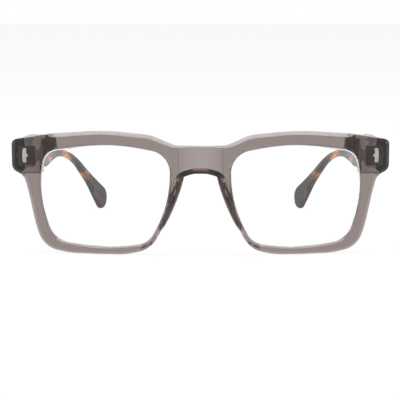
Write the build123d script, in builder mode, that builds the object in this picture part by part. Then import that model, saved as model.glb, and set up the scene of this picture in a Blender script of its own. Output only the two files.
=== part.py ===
from build123d import *
import os
from math import asin, cos, degrees, radians, sin, sqrt, tan

# Square acetate eyeglasses. X runs to the wearer's left, Y runs back along the temples, Z is up.
# The origin is on the table, under the middle of the open glasses.
# The left pieces are modelled at +X and mirrored for the right.

# The lens box and the bridge
lens_width = 51.0
lens_height = 40.0
bridge_width = 22.0
groove_depth = 0.6
groove_width = 1.0
lens_thickness = 1.8
lens_tongue = 0.9
lens_radius = 180.0
lens_setback = 1.15
lens_fit = 0.05

# The acetate front
top_rim = 4.6
bottom_rim = 2.35
endpiece_reach = 10.4
front_thickness = 4.6
front_radius = 320.0
front_edge_radius = 1.2
opening_edge_radius = 0.4
endpiece_depth = 4.7
endpiece_height = 13.6
endpiece_drop = 2.7
endpiece_block_start = 0.6
endpiece_ramp = 1.0
saddle_width = 17.0
saddle_depth = 1.0

# The cemented nose pads
pad_length = 24.0
pad_depth = 10.0
pad_thickness = 3.2
pad_setback = 5.4
pad_inset = 0.55
pad_flare_angle = 5.0
pad_slope_angle = 22.0
pad_place_share = (0.945, 1.44)

# The silver plaque on each endpiece
plaque_height = 5.4
plaque_width = 1.3
plaque_nib = 0.75
plaque_bulge = 0.3
plaque_proud = 0.3
plaque_sunk = 0.5
plaque_inset = 5.3
plaque_rise = 0.45
plaque_pin_radius = 0.45
plaque_pin_spacing = 3.0

# The five-barrel hinge
hinge_height = 6.5
barrel_count = 5
barrel_radius = 1.9
barrel_gap = 0.06
barrel_clearance = 0.3
plate_clearance = 0.15
hinge_drop = 9.75
front_plate_width = 6.6
front_plate_height = 7.4
front_plate_thickness = 1.0
temple_plate_length = 10.0
temple_leaf_setback = 0.1
temple_plate_height = 7.4
temple_plate_thickness = 0.9
screw_radius = 0.7
screw_head_radius = 1.25
screw_head_height = 0.55
screw_slot_width = 0.3
screw_slot_depth = 0.3
running_fit = 0.04
seat_fit = 0.02
rivet_radius = 0.6
rivet_spacing = 4.8
rivet_setback = 6.5
rivet_proud = 0.12

# The temples
temple_reach = 129.4
temple_height = 12.1
temple_thickness = 4.3
temple_bend_thickness = 3.2
temple_tip_thickness = 2.7
temple_inset = 1.0
temple_gap = 0.05
temple_lean_angle = 5.5
temple_straight = 60.0
temple_bend_radius = 200.0
temple_edge_radius = 1.1
broad_face_share = 0.5
wire_height = 1.4
wire_thickness = 0.8
wire_cover = 1.15

overrun = 5.0
corner_room_share = 0.97

# Places that follow from the sizes
half_bridge = bridge_width / 2
lens_x = half_bridge + lens_width / 2
lens_z = bottom_rim + lens_height / 2
half_front = half_bridge + lens_width + endpiece_reach
front_height = bottom_rim + lens_height + top_rim


def eased_radii(corners, radii, closed):
    """The radii of a line's corners, made smaller where their arcs would not fit its runs."""
    count = len(corners)
    reach = []
    for index, radius in enumerate(radii):
        before = Vector(*corners[index]) - Vector(*corners[index - 1])
        after = Vector(*corners[(index + 1) % count]) - Vector(*corners[index])
        ends_here = not closed and index in (0, count - 1)
        reach.append(0 if ends_here else radius * tan(radians(before.get_angle(after) / 2)))
    eased = list(radii)
    for index in range(count if closed else count - 1):
        other = (index + 1) % count
        run = (Vector(*corners[other]) - Vector(*corners[index])).length
        needed = reach[index] + reach[other]
        if needed > run * corner_room_share:
            for end in (index, other):
                eased[end] = min(eased[end], radii[end] * run * corner_room_share / needed)
    return eased


def front_sag(x):
    """How far the front's outer curve has dropped back at x."""
    return front_radius - sqrt(front_radius ** 2 - x ** 2)


joint_depth = front_sag(half_front) + endpiece_depth
front_y = -(joint_depth + temple_reach) / 2
joint_y = front_y + joint_depth
hinge_z = front_height - hinge_drop
hinge_y = joint_y + plate_clearance + barrel_radius
temple_x = half_front - temple_inset
hinge_x = temple_x - temple_thickness - barrel_clearance - barrel_radius

# The corners of the half outline of the front, from the top of the bridge round to its
# underside. The first number runs 0 to 1 over the half bridge, 1 to 2 over the lens box and
# 2 to 3 over the endpiece; the second 0 to 1 over the bottom rim, 1 to 2 over the lens box
# and 2 to 3 over the top rim; the third is the corner's radius as a share of the lens height.
front_outline_shares = [
    (0.874, 1.983, 0.175), (1.157, 2.737, 0.445), (1.510, 3.080, 2.200), (1.920, 2.752, 2.700),
    (3.000, 2.222, 0.050), (2.990, 1.739, 0.078), (2.545, 1.688, 0.122), (2.376, 1.532, 2.600),
    (2.136, 1.235, 1.500), (1.967, 0.979, 0.238), (1.765, 0.123, 0.730), (1.529, 0.000, 2.000),
    (1.333, 0.000, 0.780), (1.156, 0.953, 0.280), (1.020, 1.309, 0.800), (0.866, 1.549, 1.650),
    (0.685, 1.685, 0.118), (0.231, 1.721, 0.128),
]

# The corners of the lens outline, clockwise from the middle of its top, in shares of the half
# lens box, each with its radius as a share of the lens height.
lens_outline_shares = [
    (-0.044, 1.061, 1.950), (0.942, 0.872, 0.175), (1.050, 0.083, 1.100),
    (0.823, -0.875, 0.240), (0.016, -1.049, 1.820), (-0.667, -0.920, 0.200),
    (-0.979, -0.192, 1.090), (-1.012, 0.833, 0.230),
]

# The corners of a temple's side outline, from the joint along the top, round the tip and back
# below. Each gives its place along the temple, a level as a share of the hinge's level, a
# height from there and a radius, both as shares of the temple's height.
temple_outline_shares = [
    (0.000, 1.000, 0.500, 0.000), (0.230, 1.000, 0.480, 2.500),
    (0.394, 0.850, 0.316, 6.000), (0.650, 0.802, 0.121, 5.000),
    (0.729, 0.739, 0.108, 3.500), (0.793, 0.632, 0.127, 4.000), (1.009, 0.200, 0.038, 0.500),
    (0.989, 0.120, -0.352, 0.300), (0.957, 0.120, -0.352, 0.270),
    (0.877, 0.420, -0.238, 3.000), (0.782, 0.645, -0.115, 2.500),
    (0.723, 0.742, -0.116, 2.800), (0.647, 0.802, -0.119, 5.000),
    (0.564, 0.831, -0.125, 5.000), (0.374, 0.850, -0.349, 2.000),
    (0.257, 0.915, -0.359, 5.000), (0.000, 1.000, -0.500, 0.000),
]

# The course of the core wire, written as the temple's outline is.
wire_course_shares = [
    (0.000, 1.000, 0.000, 0.000), (0.440, 0.844, 0.000, 8.000),
    (0.650, 0.802, 0.000, 3.000), (0.726, 0.739, 0.000, 3.000),
    (0.788, 0.638, 0.000, 3.000), (0.904, 0.333, 0.000, 0.000),
]


def banded(share, bands):
    """A place in a row of bands, where each band is one unit of the share."""
    whole = min(int(share), len(bands) - 1)
    return sum(bands[:whole]) + (share - whole) * bands[whole]


def front_point(across_share, up_share):
    across = banded(across_share, (half_bridge, lens_width, endpiece_reach))
    up = banded(up_share, (bottom_rim, lens_height, top_rim))
    return across, up


def curve_y(x, depth=0):
    """The Y of the front's outer curve at x, or of one that lies deeper."""
    radius = front_radius - depth
    return front_y + front_radius - sqrt(radius ** 2 - x ** 2)


def front_band(start_depth, end_depth):
    """A plan face between two curves that follow the front's outer curve."""
    with BuildSketch(Plane.XY) as band:
        with BuildLine():
            reach = half_front + overrun
            near_left = (-reach, curve_y(reach, start_depth))
            near_right = (reach, curve_y(reach, start_depth))
            far_left = (-reach, curve_y(reach, end_depth))
            far_right = (reach, curve_y(reach, end_depth))
            ThreePointArc(near_left, (0, curve_y(0, start_depth)), near_right)
            Line(near_right, far_right)
            ThreePointArc(far_right, (0, curve_y(0, end_depth)), far_left)
            Line(far_left, near_left)
        make_face()
    return band.sketch


def lens_outline(growth):
    """The closed lens shape on the lens plane, grown all round."""
    half_width = lens_width / 2 + growth
    half_height = lens_height / 2 + growth
    corners = [(u * half_width, v * half_height) for u, v, r in lens_outline_shares]
    radii = [r * lens_height + growth for u, v, r in lens_outline_shares]
    with BuildSketch(lens_plane) as outline:
        with BuildLine():
            FilletPolyline(*corners, radius=eased_radii(corners, radii, closed=True), close=True)
        make_face()
    return outline.sketch


def lens_shell(growth, thickness):
    """A piece of the lens shape, cut from a spherical shell of the given thickness."""
    with BuildPart() as shell:
        extrude(lens_outline(growth), amount=lens_radius / 2, both=True)
        with Locations(lens_plane.offset(-lens_setback - lens_radius)):
            Sphere(lens_radius + thickness / 2, mode=Mode.INTERSECT)
            Sphere(lens_radius - thickness / 2, mode=Mode.SUBTRACT)
    return shell.part


lean = asin(lens_x / front_radius)
lens_plane = Plane(
    origin=(lens_x, curve_y(lens_x), lens_z),
    x_dir=(cos(lean), sin(lean), 0),
    z_dir=(sin(lean), -cos(lean), 0),
)


def upright(x, y, z):
    """A plane that faces forward at a point, with its own X to the wearer's left."""
    return Plane(origin=(x, y, z), x_dir=(1, 0, 0), z_dir=(0, -1, 0))


# The front: its outline cut from a curved sheet, with a block behind each endpiece
with BuildPart() as front_outline:
    left_corners = [front_point(u, v) for u, v, r in front_outline_shares]
    right_corners = [(-x, z) for x, z in reversed(left_corners)]
    corner_radii = [r * lens_height for u, v, r in front_outline_shares]
    corners = left_corners + right_corners
    with BuildSketch(Plane.XZ):
        with BuildLine():
            radii = eased_radii(corners, corner_radii + corner_radii[::-1], closed=True)
            FilletPolyline(*corners, radius=radii, close=True)
        make_face()
    extrude(amount=joint_depth + temple_reach, both=True)

block_x = half_bridge + lens_width + endpiece_block_start
with BuildPart() as endpiece_block:
    with BuildSketch(Plane.XY.offset(front_height - endpiece_drop - endpiece_height)):
        with BuildLine():
            ramp_x = block_x - endpiece_ramp
            end_x = half_front + overrun
            sheet_middle = front_thickness / 2
            Polyline(
                (ramp_x, curve_y(ramp_x, sheet_middle)), (ramp_x, curve_y(ramp_x, front_thickness)),
                (block_x, joint_y), (end_x, joint_y), (end_x, curve_y(end_x, sheet_middle)),
                close=True,
            )
        make_face()
    extrude(amount=endpiece_height + endpiece_drop)
    add(front_outline.part, mode=Mode.INTERSECT)

with BuildPart() as front_blank:
    add(front_outline.part)
    extrude(
        front_band(0, front_thickness), amount=front_height + overrun, both=True,
        mode=Mode.INTERSECT,
    )
    add(endpiece_block.part)
    mirror(endpiece_block.part, about=Plane.YZ)
    saddle_radius = (saddle_width ** 2 / 4 + saddle_depth ** 2) / (2 * saddle_depth)
    with BuildSketch(Plane.XY):
        with Locations((0, curve_y(0, front_thickness - saddle_depth) + saddle_radius)):
            Circle(saddle_radius)
    extrude(amount=front_height + overrun, mode=Mode.SUBTRACT)
    front_face = front_blank.faces().filter_by(GeomType.CYLINDER).sort_by(SortBy.AREA)[-1]
    fillet(front_face.edges(), front_edge_radius)

# The lens, its tongue in the groove of the rim
with BuildPart() as lens_left:
    add(lens_shell(-groove_depth - lens_fit, lens_thickness))
    add(lens_shell(-lens_fit, lens_tongue))

with BuildPart() as lens_opening:
    extrude(lens_outline(-groove_depth), amount=front_radius / 4, both=True)

# The hinge leaf that is sunk into the back of the endpiece
leaf_x = hinge_x - barrel_radius + front_plate_width / 2
with BuildPart() as front_leaf:
    with BuildSketch(upright(leaf_x, joint_y, hinge_z)):
        Rectangle(front_plate_width, front_plate_height)
    extrude(amount=front_plate_thickness)

# The silver plaque, let into the face of the endpiece, and its two pins through to the leaf
plaque_x = half_front - plaque_inset
plaque_z = hinge_z + plaque_rise
with BuildPart() as plaque_plate:
    with BuildSketch(upright(plaque_x, joint_y, plaque_z)):
        with BuildLine():
            half_width = plaque_width / 2
            half_height = plaque_height / 2
            ThreePointArc(
                (half_width, half_height), (half_width + plaque_bulge, 0), (half_width, -half_height)
            )
            Polyline(
                (half_width, -half_height), (-half_width, -half_height),
                (-half_width, -plaque_nib), (-half_width - plaque_nib, 0),
                (-half_width, plaque_nib), (-half_width, half_height), (half_width, half_height),
            )
        make_face()
    extrude(amount=joint_depth + overrun)
    extrude(front_band(-plaque_proud, plaque_sunk), amount=front_height, mode=Mode.INTERSECT)


def plaque_pins(radius):
    """Both pins of a plaque, from its back to the back of the hinge leaf."""
    with BuildPart() as pins:
        with BuildSketch(upright(plaque_x, joint_y, plaque_z)):
            with GridLocations(0, plaque_pin_spacing, 1, 2):
                Circle(radius)
        extrude(amount=joint_y - curve_y(plaque_x, plaque_sunk))
    return pins.part


with BuildPart() as front_plaque_left:
    add(plaque_plate.part)
    add(plaque_pins(plaque_pin_radius))


def in_lens_box(edge):
    """Whether a long edge lies inside the box of either lens, as the opening's edges do."""
    spots = [edge @ 0, edge @ 0.5, edge @ 1]
    return edge.length > 2 * front_thickness and all(
        abs(abs(spot.X) - lens_x) < lens_width / 2 and abs(spot.Z - lens_z) < lens_height / 2
        for spot in spots
    )


# The front, with its lens openings, their grooves and the seats of its metal
with BuildPart() as front_frame:
    add(front_blank.part)
    add(lens_opening.part, mode=Mode.SUBTRACT)
    mirror(lens_opening.part, about=Plane.YZ, mode=Mode.SUBTRACT)
    fillet(front_frame.edges().filter_by(in_lens_box), opening_edge_radius)
    for seat in (
        front_leaf.part, plaque_plate.part, plaque_pins(plaque_pin_radius + seat_fit),
        lens_shell(0, groove_width),
    ):
        add(seat, mode=Mode.SUBTRACT)
        mirror(seat, about=Plane.YZ, mode=Mode.SUBTRACT)

# The nose pad, a flat pebble cemented to the front beside the notch
with BuildPart() as pad_pebble:
    Sphere(pad_length / 2)
    scale(by=(pad_thickness / pad_length, pad_depth / pad_length, 1))
pad_x, pad_z = front_point(*pad_place_share)
pad_place = Location(
    (pad_x + pad_inset, curve_y(pad_x, pad_setback), pad_z), (0, -pad_slope_angle, -pad_flare_angle)
)
with BuildPart() as nose_pad_left:
    add(pad_place * pad_pebble.part)
    add(front_frame.part, mode=Mode.SUBTRACT)
    add(nose_pad_left.solids().sort_by(SortBy.VOLUME)[-1], mode=Mode.REPLACE)

# The front leaf of the hinge: three barrels on arms from the leaf in the endpiece
barrel_pitch = hinge_height / barrel_count
barrel_length = barrel_pitch - barrel_gap
hinge_foot_z = hinge_z - hinge_height / 2


def barrels(order, arm_end_x, arm_end_y):
    """Barrels on the hinge axis, each with a square arm that ends at the given place."""
    with BuildPart() as stack:
        for index in order:
            foot = hinge_foot_z + index * barrel_pitch + barrel_gap / 2
            with BuildSketch(Plane.XY.offset(foot)):
                with Locations((hinge_x, hinge_y)):
                    Circle(barrel_radius)
                with BuildLine():
                    if arm_end_x is None:
                        Polyline(
                            (hinge_x - barrel_radius, hinge_y), (hinge_x - barrel_radius, arm_end_y),
                            (hinge_x + barrel_radius, arm_end_y), (hinge_x + barrel_radius, hinge_y),
                            close=True,
                        )
                    else:
                        Polyline(
                            (hinge_x, hinge_y - barrel_radius), (arm_end_x, hinge_y - barrel_radius),
                            (arm_end_x, hinge_y + barrel_radius), (hinge_x, hinge_y + barrel_radius),
                            close=True,
                        )
                make_face()
            extrude(amount=barrel_length)
    return stack.part


def screw_bore(radius):
    """A bore on the hinge axis through every barrel."""
    with BuildPart() as bore:
        with BuildSketch(Plane.XY.offset(hinge_foot_z - overrun)):
            with Locations((hinge_x, hinge_y)):
                Circle(radius)
        extrude(amount=hinge_height + 2 * overrun)
    return bore.part


hinge_top_z = hinge_foot_z + hinge_height - barrel_gap / 2
screw_foot_z = hinge_foot_z + barrel_gap / 2
with BuildPart() as hinge_front_left:
    add(front_leaf.part)
    add(barrels((0, 2, 4), None, joint_y))
    add(screw_bore(screw_radius + seat_fit), mode=Mode.SUBTRACT)
    add(plaque_pins(plaque_pin_radius + seat_fit), mode=Mode.SUBTRACT)
    with BuildSketch(Plane.XY.offset(hinge_top_z)):
        with Locations((hinge_x, hinge_y)):
            Circle(screw_head_radius + seat_fit)
    extrude(amount=-screw_head_height - seat_fit, mode=Mode.SUBTRACT)

# The hinge screw, its slotted head let into the top barrel
with BuildPart() as hinge_screw_left:
    with BuildSketch(Plane.XY.offset(screw_foot_z)):
        with Locations((hinge_x, hinge_y)):
            Circle(screw_radius)
    extrude(amount=hinge_top_z - screw_foot_z)
    with BuildSketch(Plane.XY.offset(hinge_top_z)):
        with Locations((hinge_x, hinge_y)):
            Circle(screw_head_radius)
    extrude(amount=-screw_head_height)
    with BuildSketch(Plane.XY.offset(hinge_top_z)):
        with Locations((hinge_x, hinge_y)):
            Rectangle(2 * screw_head_radius + overrun, screw_slot_width)
    extrude(amount=-screw_slot_depth, mode=Mode.SUBTRACT)

# The temple blade: its side outline cut from a bent sheet
temple_y = joint_y + temple_gap
lean_run = (-sin(radians(temple_lean_angle)), cos(radians(temple_lean_angle)))
lean_side = (cos(radians(temple_lean_angle)), sin(radians(temple_lean_angle)))
bend_start = (
    temple_x + lean_run[0] * temple_straight, temple_y + lean_run[1] * temple_straight,
)
bend_run = temple_reach - temple_straight
bend_end_angle = degrees(asin(-lean_run[0] + (bend_run + overrun) / temple_bend_radius))
bend_sweep = bend_end_angle - temple_lean_angle
bend_thinning = 2 * (temple_bend_thickness - temple_tip_thickness) / bend_run ** 2
inner_bend_radius = 1 / (1 / temple_bend_radius - bend_thinning)


def bend_curve(depth, radius):
    """The end of the straight stretch at a depth below the outer face, and the bend after it."""
    start = (bend_start[0] - depth * lean_side[0], bend_start[1] - depth * lean_side[1])
    return start, JernArc(start, lean_run, radius, bend_sweep)


def blade_band(outer_depth, inner_depth, inner_start_depth, inner_radius):
    """A plan face that follows the bent temple, between two depths below its outer face."""
    with BuildSketch(Plane.XY) as band:
        with BuildLine():
            outer_start, outer_arc = bend_curve(outer_depth, temple_bend_radius - outer_depth)
            inner_start, inner_arc = bend_curve(inner_depth, inner_radius)
            outer_foot_x = temple_x - outer_depth / lean_side[0]
            inner_foot_x = temple_x - inner_start_depth
            Line((outer_foot_x, temple_y), outer_start)
            Line((inner_foot_x, temple_y), inner_start)
            Line((outer_foot_x, temple_y), (inner_foot_x, temple_y))
            Line(outer_arc @ 1, inner_arc @ 1)
        make_face()
    return band.sketch


def blade_line(shares):
    """The corners and radii of a line along the temple, given in shares."""
    corners = [
        (temple_y + along * temple_reach, hinge_z * level + temple_height * height)
        for along, level, height, r in shares
    ]
    return corners, [r * temple_height for along, level, height, r in shares]


with BuildPart() as temple_blank:
    with BuildSketch(Plane.YZ):
        with BuildLine():
            corners, radii = blade_line(temple_outline_shares)
            FilletPolyline(*corners, radius=eased_radii(corners, radii, closed=False)[1:-1])
            Line(corners[-1], corners[0])
        make_face()
    extrude(amount=half_front + overrun)
    extrude(
        blade_band(0, temple_bend_thickness, temple_thickness, inner_bend_radius),
        amount=front_height + overrun, mode=Mode.INTERSECT,
    )
    broad_faces = temple_blank.faces().filter_by(
        lambda face: abs(face.normal_at().X) > broad_face_share
    )
    fillet(broad_faces.edges().filter_by(Axis.Z, reverse=True), temple_edge_radius)

# The core wire, shot into the blade from its front end
with BuildPart() as core_wire_left:
    with BuildSketch(Plane.YZ):
        with BuildLine():
            course, radii = blade_line(wire_course_shares)
            radii = eased_radii(course, radii, closed=False)[1:-1]
            upper = [(y, z + wire_height / 2) for y, z in course]
            lower = [(y, z - wire_height / 2) for y, z in course]
            FilletPolyline(*upper, radius=radii)
            Line(upper[-1], lower[-1])
            FilletPolyline(*lower, radius=radii)
            Line(lower[0], upper[0])
        make_face()
    extrude(amount=half_front + overrun)
    wire_inner = wire_cover + wire_thickness
    extrude(
        blade_band(wire_cover, wire_inner, wire_inner, temple_bend_radius - wire_inner),
        amount=front_height + overrun, mode=Mode.INTERSECT,
    )

# The temple leaf of the hinge: two barrels on arms from a leaf let into the blade's inner face
inner_foot = (temple_x - temple_thickness, temple_y)
inner_bend = (
    bend_start[0] - temple_bend_thickness * lean_side[0],
    bend_start[1] - temple_bend_thickness * lean_side[1],
)
inner_run = Vector(inner_bend[0] - inner_foot[0], inner_bend[1] - inner_foot[1], 0).normalized()
inner_face_plane = Plane(
    origin=(inner_foot[0], inner_foot[1], hinge_z),
    x_dir=inner_run,
    z_dir=inner_run.cross(Vector(0, 0, 1)),
)
with BuildPart() as temple_leaf:
    with BuildSketch(inner_face_plane):
        with Locations((temple_leaf_setback + temple_plate_length / 2, 0)):
            Rectangle(temple_plate_length, temple_plate_height)
    extrude(amount=temple_plate_thickness)
    add(barrels((1, 3), inner_foot[0] + temple_plate_thickness, None))


def temple_rivets(radius, end_depth):
    """The two rivets through the leaf and the blade, up to a depth above the outer face."""
    with BuildPart() as rivets:
        with BuildSketch(inner_face_plane):
            with Locations((rivet_setback, 0)), GridLocations(0, rivet_spacing, 1, 2):
                Circle(radius)
        extrude(amount=temple_thickness + end_depth)
    return rivets.part


with BuildPart() as hinge_temple_left:
    add(temple_leaf.part)
    add(screw_bore(screw_radius + running_fit), mode=Mode.SUBTRACT)
    add(temple_rivets(rivet_radius + seat_fit, overrun), mode=Mode.SUBTRACT)

with BuildPart() as temple_rivets_left:
    add(temple_rivets(rivet_radius, rivet_proud))

with BuildPart() as temple_left:
    add(temple_blank.part)
    add(core_wire_left.part, mode=Mode.SUBTRACT)
    add(temple_leaf.part, mode=Mode.SUBTRACT)
    add(temple_rivets(rivet_radius + seat_fit, overrun), mode=Mode.SUBTRACT)

# Every piece, written out; the right-hand ones are mirror images
os.makedirs("parts", exist_ok=True)
front_frame.part.label = "front_frame"
export_step(front_frame.part, "parts/front_frame.step")
left_pieces = {
    "nose_pad": nose_pad_left, "lens": lens_left, "front_plaque": front_plaque_left,
    "hinge_front": hinge_front_left, "hinge_screw": hinge_screw_left,
    "hinge_temple": hinge_temple_left, "temple": temple_left, "core_wire": core_wire_left,
    "temple_rivets": temple_rivets_left,
}
for name, left_piece in left_pieces.items():
    with BuildPart() as right_piece:
        mirror(left_piece.part, about=Plane.YZ)
    left_piece.part.label = f"{name}_left"
    right_piece.part.label = f"{name}_right"
    export_step(left_piece.part, f"parts/{name}_left.step")
    export_step(right_piece.part, f"parts/{name}_right.step")
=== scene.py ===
# %% [markdown]
# Square acetate eyeglasses, dressed in Blender.
# The measured model comes first, as a fixed frame: every piece made here fits round it, in metres,
# with X to the wearer's left, Y back along the temples and Z up from the table.

# %% Load the measured model
import bpy
import bmesh
import numpy as np
from math import asin, cos, pi, radians, sin, tan
from mathutils import Matrix, Vector
from mathutils.geometry import delaunay_2d_cdt


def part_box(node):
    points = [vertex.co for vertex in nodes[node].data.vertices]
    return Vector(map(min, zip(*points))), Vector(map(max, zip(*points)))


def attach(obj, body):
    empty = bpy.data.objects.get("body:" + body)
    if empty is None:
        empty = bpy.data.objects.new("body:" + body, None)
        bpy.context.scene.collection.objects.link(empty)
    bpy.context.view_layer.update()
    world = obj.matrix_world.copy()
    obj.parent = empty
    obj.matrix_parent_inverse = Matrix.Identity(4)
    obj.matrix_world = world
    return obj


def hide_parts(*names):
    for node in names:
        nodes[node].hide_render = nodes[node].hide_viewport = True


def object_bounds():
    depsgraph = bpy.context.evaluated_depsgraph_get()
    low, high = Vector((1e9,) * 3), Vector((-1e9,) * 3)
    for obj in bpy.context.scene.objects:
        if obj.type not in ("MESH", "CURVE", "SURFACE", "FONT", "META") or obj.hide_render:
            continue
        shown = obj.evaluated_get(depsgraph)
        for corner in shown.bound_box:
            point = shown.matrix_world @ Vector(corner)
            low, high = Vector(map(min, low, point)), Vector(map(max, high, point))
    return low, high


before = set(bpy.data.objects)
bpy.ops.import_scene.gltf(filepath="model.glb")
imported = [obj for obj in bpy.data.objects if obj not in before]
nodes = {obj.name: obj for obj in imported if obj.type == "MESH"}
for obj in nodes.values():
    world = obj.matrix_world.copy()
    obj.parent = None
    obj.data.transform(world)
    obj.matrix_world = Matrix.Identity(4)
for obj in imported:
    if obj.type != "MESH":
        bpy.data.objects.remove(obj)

mm = 0.001
cad_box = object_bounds()
print("measured box, mm:", [[round(c / mm, 2) for c in corner] for corner in cad_box])

# %% [markdown]
# The photograph is a shop picture: a long lens, a little above the glasses, looking slightly
# down. From so far away each temple is seen almost end on, so only its bend and its tip show
# through the lens. The camera could be set by eye, but here its place was worked out from the
# photograph once and is written down as numbers.

# %% Camera
photo_width = 400
camera_distance = 671.2 * mm
camera_height = 96.23 * mm
camera_pitch = radians(7.12)
camera_focal_length = 143.76
camera_offset_px = 0.5

camera_data = bpy.data.cameras.new("camera")
camera_data.sensor_width = 36
camera_data.lens = camera_focal_length
camera_data.shift_x = -camera_offset_px / photo_width
camera_data.clip_start = 10 * mm
camera = bpy.data.objects.new("camera", camera_data)
camera.location = (0, -camera_distance, camera_height)
camera.rotation_euler = (pi / 2 - camera_pitch, 0, 0)
bpy.context.scene.collection.objects.link(camera)
bpy.context.scene.camera = camera
bpy.context.scene.view_settings.view_transform = "Standard"
print("camera:", [round(c / mm, 1) for c in camera.location], "mm,", camera_focal_length, "mm lens")

# %% [markdown]
# A shop picture has no horizon: floor and background are the same white. The floor is a pale
# diffuse sheet, and only rays that come from the camera, a reflection or a refraction see most of
# it as plain white, so the object still gets its light and its soft shadow from a real floor.

# %% Helpers for node trees
def link(tree, source, target):
    """Join an output socket to an input socket."""
    tree.links.new(source, target)


def add_node(tree, kind, **inputs):
    """A node of a kind, with the named inputs set; underscores in a name stand for spaces."""
    node = tree.nodes.new(kind)
    for name, value in inputs.items():
        node.inputs[name.replace("_", " ")].default_value = value
    return node


def new_material(name):
    """An empty node material and its output node."""
    material = bpy.data.materials.new(name)
    material.use_nodes = True
    material.node_tree.nodes.clear()
    return material, material.node_tree, material.node_tree.nodes.new("ShaderNodeOutputMaterial")


def seen_directly(tree):
    """A socket that is 1 for rays from the camera, a reflection or a refraction."""
    path = add_node(tree, "ShaderNodeLightPath")
    direct = path.outputs["Is Camera Ray"]
    for ray in ("Is Glossy Ray", "Is Transmission Ray"):
        both = add_node(tree, "ShaderNodeMath")
        both.operation = "MAXIMUM"
        link(tree, direct, both.inputs[0])
        link(tree, path.outputs[ray], both.inputs[1])
        direct = both.outputs[0]
    return direct


# %% Floor
floor_size = 12.0
floor_white_share = 0.9
floor_brightness = 1.02
floor_tone = 0.9

floor_material, tree, output = new_material("pale_floor")
diffuse = add_node(tree, "ShaderNodeBsdfDiffuse", Color=(floor_tone, floor_tone, floor_tone, 1))
white = add_node(tree, "ShaderNodeEmission", Color=(1, 1, 1, 1), Strength=floor_brightness)
share = add_node(tree, "ShaderNodeMath")
share.operation = "MULTIPLY"
share.inputs[1].default_value = floor_white_share
mix = add_node(tree, "ShaderNodeMixShader")
link(tree, seen_directly(tree), share.inputs[0])
link(tree, share.outputs[0], mix.inputs[0])
link(tree, diffuse.outputs[0], mix.inputs[1])
link(tree, white.outputs[0], mix.inputs[2])
link(tree, mix.outputs[0], output.inputs["Surface"])

floor_mesh = bpy.data.meshes.new("floor")
half = floor_size / 2
floor_mesh.from_pydata(
    [(-half, -half, 0), (half, -half, 0), (half, half, 0), (-half, half, 0)], [], [(0, 1, 2, 3)]
)
floor_mesh.materials.append(floor_material)
floor = bpy.data.objects.new("floor", floor_mesh)
bpy.context.scene.collection.objects.link(floor)
print("floor:", floor_size, "m square")

# %% [markdown]
# Polished acetate is lit by what it reflects: a big softbox overhead draws the bright line along
# the bevelled top edge, and two lower ones at the sides round off the rims. The rest of the light
# comes from a white room.

# %% White room
room_strength = 0.3
world = bpy.data.worlds.new("white_room")
world.use_nodes = True
tree = world.node_tree
tree.nodes.clear()
room = add_node(tree, "ShaderNodeBackground", Color=(1, 1, 1, 1))
strength = add_node(tree, "ShaderNodeMix")
strength.data_type = "FLOAT"
strength.inputs["A"].default_value = room_strength
strength.inputs["B"].default_value = 1.0
link(tree, seen_directly(tree), strength.inputs["Factor"])
link(tree, strength.outputs["Result"], room.inputs["Strength"])
link(tree, room.outputs[0], add_node(tree, "ShaderNodeOutputWorld").inputs["Surface"])
bpy.context.scene.world = world
print("room brightness:", room_strength, "for light, 1.0 where it is seen")


# %% Softboxes
def softbox(name, place, size, radiance):
    """An area lamp that faces the glasses, given by the brightness of its own face."""
    lamp = bpy.data.lights.new(name, "AREA")
    lamp.shape = "RECTANGLE"
    lamp.size, lamp.size_y = size
    lamp.energy = radiance * pi * size[0] * size[1]
    holder = bpy.data.objects.new(name, lamp)
    holder.location = place
    holder.rotation_euler = (-Vector(place)).to_track_quat("-Z", "Y").to_euler()
    bpy.context.scene.collection.objects.link(holder)
    print(name, "lamp:", size, "m, brightness", radiance)


overhead_height, overhead_size, overhead_brightness = 1.3, (1.2, 0.9), 5.0
side_reach, side_height, side_size, side_brightness = 1.2, 0.45, (0.7, 0.7), 2.0
lamps_forward = -0.1

softbox("overhead", (0, lamps_forward, overhead_height), overhead_size, overhead_brightness)
softbox("left_side", (side_reach, lamps_forward, side_height), side_size, side_brightness)
softbox("right_side", (-side_reach, lamps_forward, side_height), side_size, side_brightness)

# %% [markdown]
# The front is a clear grey-brown acetate, darker where it is thick. A colour on the surface would
# look like paint, so the shader is clear and the colour comes from the depth of material that the
# light has crossed. That is why the thick endpieces go nearly black and the thin bridge stays pale.

# %% Acetate for the front
def shader(tree, output, **inputs):
    """A Principled shader on the surface, with its own sockets set."""
    principled = add_node(tree, "ShaderNodeBsdfPrincipled", **inputs)
    link(tree, principled.outputs[0], output.inputs["Surface"])
    return principled


def absorb(tree, output, colour, density):
    """Colour that builds up with the depth of clear material."""
    absorption = add_node(tree, "ShaderNodeVolumeAbsorption", Color=(*colour, 1), Density=density)
    link(tree, absorption.outputs[0], output.inputs["Volume"])


acetate_tint = (0.39, 0.295, 0.275)
acetate_density = 460
grey_acetate, tree, output = new_material("grey_acetate")
shader(
    tree, output, Base_Color=(1, 1, 1, 1), Roughness=0.03, IOR=1.49, Specular_IOR_Level=0.3,
    Transmission_Weight=1.0,
)
absorb(tree, output, acetate_tint, acetate_density)
print("acetate tint:", acetate_tint, "density", acetate_density)

# %% [markdown]
# The temples are a mottled acetate in the old tortoiseshell manner: sheets are pressed from chips,
# so the blotches run right through it. A noise in three dimensions is cut by the surface as a real
# block is by the saw. It is read from the distance outwards, so both temples get the same blotches.

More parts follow.
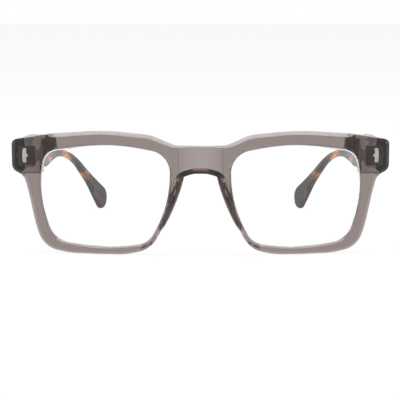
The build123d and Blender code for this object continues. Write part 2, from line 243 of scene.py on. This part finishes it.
# %% Helpers for patterns
def object_noise(tree, scale, detail, stretch=(1, 1, 1), offset=(0, 0, 0), distortion=0.0):
    """A noise value fixed to the piece, stretched and moved, and the same on the left and right."""
    place = add_node(tree, "ShaderNodeTexCoord")
    mapping = add_node(tree, "ShaderNodeMapping", Location=offset, Scale=stretch)
    noise = add_node(tree, "ShaderNodeTexNoise", Scale=scale, Detail=detail, Distortion=distortion)
    apart = add_node(tree, "ShaderNodeSeparateXYZ")
    outwards = add_node(tree, "ShaderNodeMath")
    outwards.operation = "ABSOLUTE"
    together = add_node(tree, "ShaderNodeCombineXYZ")
    link(tree, place.outputs["Object"], apart.inputs[0])
    link(tree, apart.outputs["X"], outwards.inputs[0])
    link(tree, outwards.outputs[0], together.inputs["X"])
    link(tree, apart.outputs["Y"], together.inputs["Y"])
    link(tree, apart.outputs["Z"], together.inputs["Z"])
    link(tree, together.outputs[0], mapping.inputs["Vector"])
    link(tree, mapping.outputs["Vector"], noise.inputs["Vector"])
    return noise.outputs["Fac"]


def ramp(tree, value, stops):
    """A colour ramp with stops given as a place and a colour."""
    node = add_node(tree, "ShaderNodeValToRGB")
    marks = node.color_ramp.elements
    while len(marks) < len(stops):
        marks.new(0.5)
    for mark, (place, colour) in zip(marks, stops):
        mark.position = place
        mark.color = (*colour, 1)
    link(tree, value, node.inputs["Fac"])
    return node.outputs["Color"]


# %% Tortoiseshell for the temples
amber = (0.62, 0.25, 0.05)
rust = (0.23, 0.085, 0.04)
umber = (0.052, 0.026, 0.021)
near_black = (0.026, 0.018, 0.022)
tortoise_acetate, tree, output = new_material("tortoise_acetate")
principled = shader(tree, output, Roughness=0.15, IOR=1.45, Specular_IOR_Level=0.1)
blotch_scale = 95
blotch_detail = 2.5
blotches = object_noise(
    tree, blotch_scale, blotch_detail,
    stretch=(-1, 0.75, 1.1), offset=(0.031, 0.012, 0.0), distortion=0.5,
)
blotch_stops = [(0.38, amber), (0.44, rust), (0.50, umber), (0.60, near_black)]
link(tree, ramp(tree, blotches, blotch_stops), principled.inputs["Base Color"])
print("tortoiseshell:", len(blotch_stops), "colours")

# %% [markdown]
# The lenses are plain clear plastic. The plaques and rivets are bright silver-coloured metal, the
# hinges a duller one and the core wires brushed steel. One recipe makes all three metals: a fine
# grain moves both their tone and their gloss, stretched along the way that each was rubbed.

# %% Clear lens
clear_lens, tree, output = new_material("clear_lens")
shader(tree, output, Base_Color=(1, 1, 1, 1), Roughness=0.0, IOR=1.5, Transmission_Weight=1.0)


# %% Silver and steel
grain_detail = 4
grain_low, grain_high = 0.3, 0.7


def metal(name, colour, shade, gloss, grain_scale, stretch):
    """A metal whose tone and gloss vary with a fine grain."""
    material, tree, output = new_material(name)
    principled = shader(tree, output, Metallic=1.0)
    grain = object_noise(tree, grain_scale, grain_detail, stretch=stretch)
    tones = ramp(tree, grain, [(grain_low, shade), (grain_high, colour)])
    link(tree, tones, principled.inputs["Base Color"])
    spread = add_node(tree, "ShaderNodeMapRange", To_Min=gloss[0], To_Max=gloss[1])
    link(tree, grain, spread.inputs["Value"])
    link(tree, spread.outputs["Result"], principled.inputs["Roughness"])
    return material


silver_trim = metal(
    "silver_trim", colour=(0.52, 0.49, 0.47), shade=(0.40, 0.38, 0.36), gloss=(0.16, 0.30),
    grain_scale=2500, stretch=(1, 1, 0.15),
)
hinge_metal = metal(
    "hinge_metal", colour=(0.55, 0.54, 0.52), shade=(0.40, 0.39, 0.37), gloss=(0.22, 0.40),
    grain_scale=1800, stretch=(1, 1, 1),
)
core_steel = metal(
    "core_steel", colour=(0.60, 0.58, 0.55), shade=(0.42, 0.41, 0.39), gloss=(0.25, 0.45),
    grain_scale=1500, stretch=(1, 0.1, 1),
)
print("metals:", [material.name for material in (silver_trim, hinge_metal, core_steel)])

# %% [markdown]
# The front is one piece of acetate, sawn from a curved sheet and then milled and tumbled until its
# edges are soft. It could be a bevelled copy of the measured mesh, but a bevel on loose triangles
# leaves dents that polished plastic shows at once. So the outlines are drawn again from the same
# corners and radii as the measured front, and an edge profile is swept round them.

# %% The curved sheet
front_radius = 320 * mm
front_thickness = 4.6 * mm
front_y = cad_box[0][1]
half_bridge, lens_width, endpiece_reach = 11 * mm, 51 * mm, 10.4 * mm
bottom_rim, lens_height, top_rim = 2.35 * mm, 40 * mm, 4.6 * mm
corner_room = 0.97
arc_points = 24
outline_spacing = 0.4 * mm
outline_softness = 0.4 * mm

# %% Corner tables of the outlines
front_corners = [
    (0.874, 1.983, 0.175), (1.157, 2.737, 0.445), (1.510, 3.080, 2.200), (1.920, 2.752, 2.700),
    (3.000, 2.222, 0.050), (2.990, 1.739, 0.078), (2.545, 1.688, 0.122), (2.376, 1.532, 2.600),
    (2.136, 1.235, 1.500), (1.967, 0.979, 0.238), (1.765, 0.123, 0.730), (1.529, 0.000, 2.000),
    (1.333, 0.000, 0.780), (1.156, 0.953, 0.280), (1.020, 1.309, 0.800), (0.866, 1.549, 1.650),
    (0.685, 1.685, 0.118), (0.231, 1.721, 0.128),
]
lens_corners = [
    (-0.044, 1.061, 1.950), (0.942, 0.872, 0.175), (1.050, 0.083, 1.100),
    (0.823, -0.875, 0.240), (0.016, -1.049, 1.820), (-0.667, -0.920, 0.200),
    (-0.979, -0.192, 1.090), (-1.012, 0.833, 0.230),
]


# %% From corners to smooth lines
def sheet_y(x, depth=0.0):
    """The Y of a surface that follows the front's outer curve at a depth below it."""
    return front_y + front_radius - np.sqrt((front_radius - depth) ** 2 - x ** 2)


def face_y(x, z):
    """The Y of the outer face, which is the same at any height."""
    return sheet_y(x)


def banded(share, bands):
    """A place in a row of bands, each of which is one unit of the share."""
    whole = min(int(share), len(bands) - 1)
    return sum(bands[:whole]) + (share - whole) * bands[whole]


def rounded_line(corners, radii):
    """A closed line of straight runs and arcs, with radii eased where a run is too short."""
    corners = np.array(corners)
    ahead = np.roll(corners, -1, axis=0) - corners
    run = np.linalg.norm(ahead, axis=1)
    ahead /= run[:, None]
    behind = np.roll(ahead, 1, axis=0)
    across = behind[:, 0] * ahead[:, 1] - behind[:, 1] * ahead[:, 0]
    turn = np.arctan2(across, (behind * ahead).sum(axis=1))
    half = np.tan(np.abs(turn) / 2)
    given, eased_radii = np.array(radii), np.array(radii)
    for i in range(len(corners)):
        j = (i + 1) % len(corners)
        needed = given[i] * half[i] + given[j] * half[j]
        if needed > run[i] * corner_room:
            for end in (i, j):
                eased_radii[end] = min(eased_radii[end], given[end] * run[i] * corner_room / needed)
    points = []
    reaches = eased_radii * half
    for corner, before, radius, angle, reach in zip(corners, behind, eased_radii, turn, reaches):
        start = corner - before * reach
        side = np.array([-before[1], before[0]]) * np.sign(angle)
        for share in np.linspace(0, 1, arc_points):
            swing = abs(angle) * share
            points.append(start + before * radius * sin(swing) + side * radius * (1 - cos(swing)))
    return np.array(points)


def smoothed(values, width):
    """Values round a closed line, blurred over a number of its points."""
    waves = np.fft.fftfreq(len(values)) * 2 * pi * width
    blur = np.exp(-waves ** 2 / 2)
    if values.ndim == 2:
        blur = blur[:, None]
    return np.real(np.fft.ifft(np.fft.fft(values, axis=0) * blur, axis=0))


def evened(line):
    """A closed line with evenly spaced points, run anticlockwise."""
    following = np.roll(line, -1, axis=0)
    if (line[:, 0] * following[:, 1] - following[:, 0] * line[:, 1]).sum() < 0:
        line = line[::-1]
    line = np.vstack([line, line[:1]])
    along = np.concatenate([[0], np.cumsum(np.linalg.norm(np.diff(line, axis=0), axis=1))])
    count = round(along[-1] / outline_spacing)
    places = np.arange(count) * along[-1] / count
    even = np.stack([np.interp(places, along, line[:, k]) for k in range(2)], axis=1)
    return smoothed(even, outline_softness / outline_spacing)


# %% The outline of the front
bands_across = (half_bridge, lens_width, endpiece_reach)
bands_up = (bottom_rim, lens_height, top_rim)
left_corners = [(banded(u, bands_across), banded(v, bands_up)) for u, v, radius in front_corners]
corner_radii = [radius * lens_height for u, v, radius in front_corners]
outer_line = evened(rounded_line(
    left_corners + [(-x, z) for x, z in reversed(left_corners)], corner_radii + corner_radii[::-1]
))
print("outline points round the front:", len(outer_line))

# %% Lens outlines
groove_depth = 0.6 * mm
lens_middle_x = half_bridge + lens_width / 2
lens_middle_z = bottom_rim + lens_height / 2
lens_lean = asin(lens_middle_x / front_radius)


def lens_line(growth, side):
    """The closed line of a lens, grown all round and leaned with the curve of the front."""
    half_width, half_height = lens_width / 2 + growth, lens_height / 2 + growth
    corners = [(u * half_width, v * half_height) for u, v, radius in lens_corners]
    line = rounded_line(corners, [radius * lens_height + growth for u, v, radius in lens_corners])
    leaned_x = side * (lens_middle_x + line[:, 0] * cos(lens_lean))
    return evened(np.stack([leaned_x, lens_middle_z + line[:, 1]], axis=1))


def lens_plane_y(x):
    """The Y at an X of the flat plane on which the lens outline is drawn."""
    return sheet_y(lens_middle_x) + (np.abs(x) - lens_middle_x) * tan(lens_lean)


opening_lines = {side: lens_line(-groove_depth, side) for side in (1, -1)}
print("outline points round a lens:", len(opening_lines[1]))

# %% [markdown]
# Behind, the front isn't flat. It is hollowed behind the bridge for the nose, and thick at the
# endpieces, where the hinges sit. One rule gives the height of the back at any place, so that the
# edges and the filling between them always meet.

# %% Heights of the back of the front
saddle_half_width = 8.5 * mm
saddle_radius = 36.625 * mm
saddle_depth = 1.0 * mm
joint_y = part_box("front_frame")[1][1]
leaf_stands_proud = 0.03 * mm
block_foot = 30.65 * mm
block_ledge = 0.35 * mm
block_ramp = (54 * mm, 61.5 * mm)


def eased(low, high, value):
    """A smooth step from 0 at low to 1 at high."""
    share = np.clip((value - low) / (high - low), 0, 1)
    return share * share * (3 - 2 * share)


def back_y(x, z):
    """The Y of the back: the sheet's back, hollowed behind the bridge, thick at the endpieces."""
    back = sheet_y(x, front_thickness)
    hollow_axis = sheet_y(0, front_thickness - saddle_depth) + saddle_radius
    inside = np.abs(x) < saddle_half_width
    hollow = hollow_axis - np.sqrt(saddle_radius ** 2 - np.where(inside, x, 0) ** 2)
    back = np.where(inside, np.minimum(back, hollow), back)
    above_foot = eased(block_foot - block_ledge / 2, block_foot + block_ledge / 2, z)
    block = eased(*block_ramp, np.abs(x)) * above_foot
    return back + (joint_y - leaf_stands_proud - back) * block


print("thickness, mm, at the bridge and an endpiece:", [
    round(float(back_y(x, high_up) - sheet_y(x)) / mm, 2)
    for x, high_up in ((0.0, block_foot), (block_ramp[1], block_foot + block_ledge))
])


# %% [markdown]
# The rims have a bevel with softened ends, and each opening has a groove that holds its lens. A
# bevel modifier would pinch at the tight corners of the notch. Rings of points, each a copy of the
# outline moved inwards and back, keep an even width, and narrow only where the rim is too thin.

# %% Edge profiles
lens_radius = 180 * mm
lens_setback = 1.15 * mm
facet_round_share = 0.22
groove_half_width = 0.5 * mm
groove_profile = [
    (0, -groove_half_width), (0.5 * groove_depth, -groove_half_width),
    (groove_depth, -groove_half_width), (groove_depth, 0), (groove_depth, groove_half_width),
    (0.5 * groove_depth, groove_half_width), (0, groove_half_width),
]
support = 0.1 * mm
settling_steps = 4
facet_angles = (0, 12, 24, 36, 45)
wall_shares = (0.25, 0.5, 0.75)


def into_material(line, inside):
    """The unit direction at each point of a line that leads into the acetate."""
    run = np.roll(line, -1, axis=0) - np.roll(line, 1, axis=0)
    run /= np.linalg.norm(run, axis=1)[:, None]
    left = np.stack([-run[:, 1], run[:, 0]], axis=1)
    return left if inside else -left


def nearest_gap(points, line):
    """How far each point is from the nearest point of a line."""
    return np.sqrt(((points[:, None, :] - line[None, :, :]) ** 2).sum(axis=2)).min(axis=1)


def groove_y(x, z, side):
    """The Y of the middle of a lens, which is part of a sphere."""
    away = lens_setback + lens_radius
    axis_x = side * (lens_middle_x - sin(lens_lean) * away)
    axis_y = sheet_y(lens_middle_x) + cos(lens_lean) * away
    return axis_y - np.sqrt(lens_radius ** 2 - (x - axis_x) ** 2 - (z - lens_middle_z) ** 2)


def placed(flat, height, side=0):
    """Points on a surface over X and Z; an opening's points lean outwards as they come forward."""
    x = flat[:, 0]
    for step in range(settling_steps if side else 1):
        y = height(x, flat[:, 1])
        x = flat[:, 0] - side * (y - lens_plane_y(flat[:, 0])) * tan(lens_lean)
    return np.stack([x if side else flat[:, 0], y, flat[:, 1]], axis=1)


# %% Rings of an edge
facet_reach = 1 + facet_round_share * tan(pi / 8)


def facet_profile():
    """Insets and depths over a facet with rounded ends, as shares of the facet's size."""
    turns = [radians(a) for a in facet_angles]
    soft = facet_round_share
    outer_end = [(soft * (1 - cos(turn)), facet_reach - soft * sin(turn)) for turn in turns]
    return outer_end + [(depth, inset) for inset, depth in reversed(outer_end)]


def edge_rings(line, into, front_round, back_round, back_deep, side=0):
    """Rings of points round an edge, from the flat of the front to the flat of the back."""
    def ring(inset, height):
        return placed(line + into * np.broadcast_to(inset, len(line))[:, None], height, side)

    rings = [ring(front_round * facet_reach + support, face_y)]
    for inset, depth in reversed(facet_profile()):
        rings.append(ring(front_round * inset, lambda x, z: sheet_y(x, front_round * depth)))
    if side:
        for inset, offset in groove_profile:
            rings.append(ring(inset, lambda x, z: groove_y(x, z, side) + offset))
    else:
        top = rings[-1][:, 1]
        foot = back_y(line[:, 0], line[:, 1]) - back_deep * facet_reach
        for share in wall_shares:
            rings.append(ring(0, lambda x, z: top + (foot - top) * share))
    for inset, depth in facet_profile():
        rings.append(ring(back_round * inset, lambda x, z: back_y(x, z) - back_deep * depth))
    rings.append(ring(back_round * facet_reach + support, back_y))
    return rings


# %% Rings round the outer edge
edge_round = 1.3 * mm
bridge_top_round = 0.5 * mm
notch_round = 0.35 * mm
back_round = 0.9 * mm
notch_back_round = 1.9 * mm
notch_back_deep = 2.6 * mm
opening_round = 0.5 * mm
smallest_round = 0.1 * mm
notch_reach, bridge_notch_reach, notch_top = 21 * mm, 9 * mm, 36 * mm
bridge_top_reach, bridge_top_foot = 10 * mm, 38 * mm
notch_facing = (0.1, 0.5)
blend_points, round_blend_points = 4, 3

into = into_material(outer_line, inside=True)
x, z = np.abs(outer_line[:, 0]), outer_line[:, 1]
outward = into[:, 0] * np.sign(outer_line[:, 0])
in_notch = np.maximum(
    eased(*notch_facing, outward) * (x < notch_reach) * (z < notch_top),
    1.0 * (x < bridge_notch_reach) * (z < notch_top),
)
in_notch = smoothed(in_notch, blend_points)
on_bridge_top = smoothed(1.0 * (x < bridge_top_reach) * (z > bridge_top_foot), blend_points)
front_rounds = edge_round + (notch_round - edge_round) * in_notch
front_rounds = front_rounds + (bridge_top_round - edge_round) * on_bridge_top
back_rounds = back_round + (notch_back_round - back_round) * in_notch


# %% Rounds that fit the rim
def rounds_that_fit(wanted, surface):
    """Edge rounds made smaller where the rim is too narrow for them at the front or the back."""
    rim = np.full(len(outer_line), 1.0)
    for side, line in opening_lines.items():
        rim = np.minimum(rim, nearest_gap(outer_line, placed(line, surface, side)[:, [0, 2]]))
    room = (rim - opening_round * facet_reach - 3 * support) / facet_reach
    print("narrowest rim, mm:", round(rim.min() / mm, 2))
    blended = smoothed(np.minimum(wanted, room), round_blend_points)
    return np.minimum(blended, np.maximum(room, smallest_round))


front_rounds = rounds_that_fit(front_rounds, face_y)
back_rounds = rounds_that_fit(back_rounds, back_y)
back_deeps = back_rounds * (1 + (notch_back_deep / notch_back_round - 1) * in_notch)
outer_rings = edge_rings(outer_line, into, front_rounds, back_rounds, back_deeps)

# %% Rings round the lens openings
opening_rings = {}
for side, line in opening_lines.items():
    into = into_material(line, inside=False)
    rounds = np.full(len(line), opening_round)
    opening_rings[side] = edge_rings(line, into, rounds, rounds, rounds, side)
print("rings:", len(outer_rings), "round the front,", len(opening_rings[1]), "round a lens")

# %% [markdown]
# The flats between the rings are filled with triangles that know every border. A plain fill would
# span the curved back with long flat facets, so even rows of extra points carry the curve.

# %% Inside or outside
tiny = 1e-15
def inside_line(points, line):
    """Which of the points lie inside a closed line."""
    ends = np.roll(line, -1, axis=0)
    count = np.zeros(len(points), int)
    for (ax, az), (bx, bz) in zip(line, ends):
        spans = (az > points[:, 1]) != (bz > points[:, 1])
        if spans.any():
            crossing = ax + (points[:, 1] - az) / (bz - az + tiny) * (bx - ax)
            count += spans & (points[:, 0] < crossing)
    return count % 2 == 1


# %% Filling between the borders
fill_precision = 1e-6


def filled(border_lines, extra):
    """Triangles between an outer line and any openings, with extra points inside."""
    outer, *holes = border_lines
    keep = inside_line(extra, outer)
    for hole in holes:
        keep &= ~inside_line(extra, hole)
    for border in border_lines:
        keep[keep] &= nearest_gap(extra[keep], border) > 0.5 * outline_spacing
    extra = extra[keep]
    edges, start = [], 0
    for border in border_lines:
        edges += [(start + i, start + (i + 1) % len(border)) for i in range(len(border))]
        start += len(border)
    points = np.vstack([*border_lines, extra]) / mm
    made = delaunay_2d_cdt([Vector(p) for p in points], edges, [], 0, fill_precision)
    index = [ids[0] for ids in made[3]]
    triangles = [tuple(index[i] for i in face) for face in made[2]]
    fences = {frozenset(edge) for edge in edges}
    beside = {}
    for number, triangle in enumerate(triangles):
        for i in range(3):
            beside.setdefault(frozenset((triangle[i], triangle[i - 1])), []).append(number)
    wanted = {number for number, triangle in enumerate(triangles) if max(triangle) >= start}
    waiting = list(wanted)
    while waiting:
        triangle = triangles[waiting.pop()]
        for i in range(3):
            edge = frozenset((triangle[i], triangle[i - 1]))
            if edge not in fences:
                for number in beside[edge]:
                    if number not in wanted:
                        wanted.add(number)
                        waiting.append(number)
    return extra, [triangles[number] for number in sorted(wanted)]


# %% Extra points that carry the curves
row_share = 0.87
wide_step, crease_step, ledge_step, ramp_step = 1.3 * mm, 0.3 * mm, 0.25 * mm, 0.45 * mm
crease_half_width = 0.1 * mm
ledge_reach = (57 * mm, 73 * mm)
ledge_margin, ledge_rows = 0.6, 6


def grid(low, high, step):
    """Points in even rows, every other row moved half a step."""
    rows = []
    for row, z in enumerate(np.arange(low[1], high[1], step * row_share)):
        xs = np.arange(low[0], high[0], step) + (step / 2 if row % 2 else 0)
        rows.append(np.stack([xs, np.full(len(xs), z)], axis=1))
    return np.vstack(rows)


low, high = cad_box[0], cad_box[1]
wide_grid = grid((low[0], low[2]), (high[0], high[2]), wide_step)
fine_points = [wide_grid]
for side in (1, -1):
    crease = np.arange(low[2], high[2], crease_step)
    for away in (-crease_half_width, 0, crease_half_width):
        x = saddle_half_width + away
        fine_points.append(np.stack([np.full(len(crease), side * x), crease], axis=1))
    ledge = np.arange(*ledge_reach, ledge_step)
    margin = ledge_margin * block_ledge
    for z in np.linspace(block_foot - margin, block_foot + margin, ledge_rows):
        fine_points.append(np.stack([side * ledge, np.full(len(ledge), z)], axis=1))
    slope = grid((block_ramp[0] - mm, block_foot), (block_ramp[1] + mm, high[2]), ramp_step)
    fine_points.append(slope * (side, 1))
fine_points = np.vstack(fine_points)
print("extra points:", len(wide_grid), "in front,", len(fine_points), "behind")


# %% Closing a piece
def closed_mesh(name, ring_sets, front_surface, back_surface, front_extra, back_extra):
    """A closed mesh of swept edges, filled in front and behind; the first rings are the outer ones."""
    vertices, faces, starts = [], [], []
    for rings in ring_sets:
        start = sum(map(len, vertices))
        starts.append(start)
        count = len(rings[0])
        vertices += rings
        for k in range(len(rings) - 1):
            a = start + k * count
            for i in range(count):
                j = (i + 1) % count
                faces.append((a + i, a + j, a + count + j, a + count + i))
    for end, surface, extra in ((0, front_surface, front_extra), (-1, back_surface, back_extra)):
        inner, triangles = filled([rings[end][:, [0, 2]] for rings in ring_sets], extra)
        ids = []
        for rings, start in zip(ring_sets, starts):
            first = start + (end % len(rings)) * len(rings[0])
            ids += range(first, first + len(rings[0]))
        first = sum(map(len, vertices))
        ids += range(first, first + len(inner))
        vertices.append(placed(inner, surface))
        faces += [tuple(ids[i] for i in triangle) for triangle in triangles]
    mesh = bpy.data.meshes.new(name)
    mesh.from_pydata(np.vstack(vertices).tolist(), [], faces)
    work = bmesh.new()
    work.from_mesh(mesh)
    bmesh.ops.recalc_face_normals(work, faces=work.faces)
    open_edges = sum(not edge.is_manifold for edge in work.edges)
    volume = work.calc_volume() / mm ** 3
    print(name, "has", len(work.faces), "faces,", open_edges, "open edges and", round(volume), "mm3")
    work.to_mesh(mesh)
    work.free()
    return mesh


# %% Helpers for pieces
def evaluated_mesh(piece):
    """A plain mesh of a piece as its modifiers leave it."""
    bpy.context.view_layer.update()
    graph = bpy.context.evaluated_depsgraph_get()
    return bpy.data.meshes.new_from_object(piece.evaluated_get(graph))


def linked(name, mesh, material):
    """An object at the origin for a mesh, with its material."""
    piece = bpy.data.objects.new(name, mesh)
    bpy.context.scene.collection.objects.link(piece)
    mesh.materials.append(material)
    return piece


# %% The front
front_mesh = closed_mesh(
    "front_acetate", [outer_rings, opening_rings[1], opening_rings[-1]],
    face_y, back_y, wide_grid, fine_points,
)
front_acetate = linked("front_acetate", front_mesh, grey_acetate)

# %% [markdown]
# A lens is a thin shell of a large sphere, ground with a ridge round its edge that sits in the
# rim's groove. It is swept and filled like the front. A copy of the measured lens would show the
# point where all its triangles meet as a dent in the middle of the glass.

# %% Lenses
lens_edge_inset = 0.05 * mm
lens_edge = [
    (0.5, -0.9), (0.15, -0.9), (0.04, -0.87), (0, -0.78), (0, -0.45),
    (-0.57, -0.45), (-0.6, -0.42), (-0.6, 0), (-0.6, 0.42), (-0.57, 0.45),
    (0, 0.45), (0, 0.78), (0.04, 0.87), (0.15, 0.9), (0.5, 0.9),
]
lens_half_thickness = 0.9 * mm
lens_step = 2.0 * mm
lens_sharp_angle = radians(25)
lens_grid = grid((low[0], low[2]), (high[0], high[2]), lens_step)

for side, name in ((1, "left"), (-1, "right")):
    line = lens_line(-groove_depth - lens_edge_inset, side)
    into = into_material(line, inside=True)
    rings = [
        placed(line + into * inset * mm, lambda x, z: groove_y(x, z, side) + offset * mm, side)
        for inset, offset in lens_edge
    ]
    lens_mesh = closed_mesh(
        f"clear_lens_{name}", [rings],
        lambda x, z: groove_y(x, z, side) - lens_half_thickness,
        lambda x, z: groove_y(x, z, side) + lens_half_thickness, lens_grid, lens_grid,
    )
    lens = linked(f"clear_lens_{name}", lens_mesh, clear_lens)
    lens.data.shade_smooth()
    lens.data.set_sharp_from_angle(angle=lens_sharp_angle)
    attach(lens, "front")
    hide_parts(f"lens_{name}")

# %% [markdown]
# The nose pads are moulded from the same acetate and bonded to the rims with no seam to be seen.
# Two pieces that only overlap would show a dark skin between them, because light would leave one
# and enter the other. So each pad, a flattened and turned ellipsoid, is fused with the front.

# %% Nose pads
pad_size = (3.2 * mm, 10 * mm, 24 * mm)
pad_place = (10.945 * mm, -65.627 * mm, 19.95 * mm)
pad_slope = radians(22)
pad_flare = radians(5)
pad_segments, pad_rings = 72, 48
front_sharp_angle = radians(32)

for side in (1, -1):
    pad_mesh = bpy.data.meshes.new("pad")
    work = bmesh.new()
    bmesh.ops.create_uvsphere(work, u_segments=pad_segments, v_segments=pad_rings, radius=0.5)
    turn = Matrix.Rotation(-side * pad_slope, 4, "Y") @ Matrix.Rotation(-side * pad_flare, 4, "Z")
    place = Matrix.Translation((side * pad_place[0], pad_place[1], pad_place[2]))
    bmesh.ops.transform(work, matrix=place @ turn @ Matrix.Diagonal((*pad_size, 1)), verts=work.verts)
    work.to_mesh(pad_mesh)
    work.free()
    pad = linked("pad", pad_mesh, grey_acetate)
    union = front_acetate.modifiers.new("pad", "BOOLEAN")
    union.operation = "UNION"
    union.solver = "MANIFOLD"
    union.object = pad
    fused = evaluated_mesh(front_acetate)
    front_acetate.modifiers.remove(union)
    front_acetate.data = fused
    bpy.data.objects.remove(pad)
front_acetate.data.shade_smooth()
front_acetate.data.set_sharp_from_angle(angle=front_sharp_angle)
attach(front_acetate, "front")
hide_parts("front_frame", "nose_pad_left", "nose_pad_right")
print("front with pads:", len(front_acetate.data.polygons), "faces")

# %% [markdown]
# Two rivets hold each temple's hinge leaf, and their heads show on the outside of the temple. Both
# are alike, so Geometry Nodes make one rivet with domed ends and repeat it up a short line of
# points. Realize Instances turns the copies into plain mesh, which the export needs.

# %% Sizes of the rivets
rivet_radius = 0.6 * mm
rivet_spacing = 4.8 * mm
rivet_dome = 0.12 * mm
rivet_lean = radians(4.46)
rivets_each_side = 2
rivet_sides, rivet_fan_rings = 40, 6
rivet_sharp_angle = radians(40)


# %% Helpers for geometry trees
def joined(tree, kind, **inputs):
    """A node's outputs, with each named input set to a value or joined to a socket."""
    node = tree.nodes.new(kind)
    for name, value in inputs.items():
        socket = node.inputs[name.replace("_", " ")]
        if isinstance(value, bpy.types.NodeSocket):
            link(tree, value, socket)
        else:
            socket.default_value = value
    return node.outputs


def maths(tree, operation, *values):
    """The result of a maths node on one or two values or sockets."""
    node = tree.nodes.new("ShaderNodeMath")
    node.operation = operation
    for socket, value in zip(node.inputs, values):
        if isinstance(value, bpy.types.NodeSocket):
            link(tree, value, socket)
        else:
            socket.default_value = value
    return node.outputs[0]


# %% Rivet tree
def domed_rivet(tree, radius, length, dome):
    """A rivet along Z whose two ends bulge by the dome's height."""
    barrel = tree.nodes.new("GeometryNodeMeshCylinder")
    barrel.fill_type = "TRIANGLE_FAN"
    barrel.inputs["Vertices"].default_value = rivet_sides
    barrel.inputs["Fill Segments"].default_value = rivet_fan_rings
    link(tree, radius, barrel.inputs["Radius"])
    link(tree, length, barrel.inputs["Depth"])
    spot = joined(tree, "ShaderNodeSeparateXYZ", Vector=joined(tree, "GeometryNodeInputPosition")[0])
    squares = [maths(tree, "POWER", spot[axis], 2) for axis in ("X", "Y")]
    outness = maths(tree, "DIVIDE", maths(tree, "ADD", *squares), maths(tree, "POWER", radius, 2))
    height = maths(tree, "MULTIPLY", maths(tree, "SUBTRACT", 1, outness), dome)
    lift = maths(tree, "MULTIPLY", height, maths(tree, "SIGN", spot["Z"]))
    offset = joined(tree, "ShaderNodeCombineXYZ", Z=lift)[0]
    return joined(tree, "GeometryNodeSetPosition", Geometry=barrel.outputs["Mesh"], Offset=offset)[0]


def rivet_tree():
    """A node tree that stands domed rivets on a short upright line."""
    tree = bpy.data.node_groups.new("rivets", "GeometryNodeTree")
    tree.interface.new_socket("Geometry", in_out="OUTPUT", socket_type="NodeSocketGeometry")
    for name, kind in (
        ("Count", "Int"), ("Spacing", "Float"), ("Radius", "Float"), ("Length", "Float"),
        ("Dome", "Float"), ("Lowest", "Vector"), ("Turn", "Rotation"), ("Material", "Material"),
    ):
        tree.interface.new_socket(name, in_out="INPUT", socket_type="NodeSocket" + kind)
    given = tree.nodes.new("NodeGroupInput").outputs
    step = joined(tree, "ShaderNodeCombineXYZ", Z=given["Spacing"])[0]
    column = joined(
        tree, "GeometryNodeMeshLine", Count=given["Count"], Start_Location=given["Lowest"], Offset=step
    )[0]
    stood = joined(
        tree, "GeometryNodeInstanceOnPoints", Points=column, Rotation=given["Turn"],
        Instance=domed_rivet(tree, given["Radius"], given["Length"], given["Dome"]),
    )[0]
    solid = joined(tree, "GeometryNodeRealizeInstances", Geometry=stood)[0]
    finished = joined(tree, "GeometryNodeSetMaterial", Geometry=solid, Material=given["Material"])[0]
    link(tree, finished, tree.nodes.new("NodeGroupOutput").inputs[0])
    return tree


# %% Rivets on both temples
rivets_tree = rivet_tree()
sockets = {
    item.name: item.identifier for item in rivets_tree.interface.items_tree if item.in_out == "INPUT"
}
for side, name in ((1, "left"), (-1, "right")):
    box_low, box_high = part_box(f"temple_rivets_{name}")
    length = box_high[0] - box_low[0] - 2 * rivet_radius * sin(rivet_lean)
    middle = [(a + b) / 2 for a, b in zip(box_low, box_high)]
    rivets = bpy.data.objects.new(f"rivets_{name}", bpy.data.meshes.new("rivets"))
    bpy.context.scene.collection.objects.link(rivets)
    modifier = rivets.modifiers.new("rivets", "NODES")
    modifier.node_group = rivets_tree
    for label, value in (
        ("Count", rivets_each_side), ("Spacing", rivet_spacing), ("Radius", rivet_radius), ("Length", length),
        ("Dome", rivet_dome), ("Lowest", (middle[0], middle[1], middle[2] - rivet_spacing / 2)),
        ("Turn", (0, pi / 2, side * rivet_lean)), ("Material", silver_trim),
    ):
        modifier[sockets[label]] = value
    made = evaluated_mesh(rivets)
    rivets.modifiers.remove(modifier)
    made.materials.clear()
    made.materials.append(silver_trim)
    made.shade_smooth()
    made.set_sharp_from_angle(angle=rivet_sharp_angle)
    rivets.data = made
    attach(rivets, f"{name}_temple")
    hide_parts(f"temple_rivets_{name}")
    print(f"rivets_{name}:", len(made.polygons), "faces,", round(length / mm, 2), "mm long")

# %% [markdown]
# The temples, hinges, screws, plaques and core wires already have their shapes in the measured
# model, so they keep its meshes and only get their finishes here. The pieces that were replaced
# get theirs too, although they are hidden.

# %% Finishes of the measured pieces
finishes = {
    "front_frame": grey_acetate, "nose_pad": grey_acetate, "lens": clear_lens,
    "front_plaque": silver_trim, "hinge_front": hinge_metal, "hinge_screw": hinge_metal,
    "hinge_temple": hinge_metal, "core_wire": core_steel, "temple_rivets": silver_trim,
    "temple": tortoise_acetate,
}
for name, node in nodes.items():
    stem = name.removesuffix("_left").removesuffix("_right")
    node.data.materials.clear()
    node.data.materials.append(finishes[stem])
print("finished", len(nodes), "measured pieces")
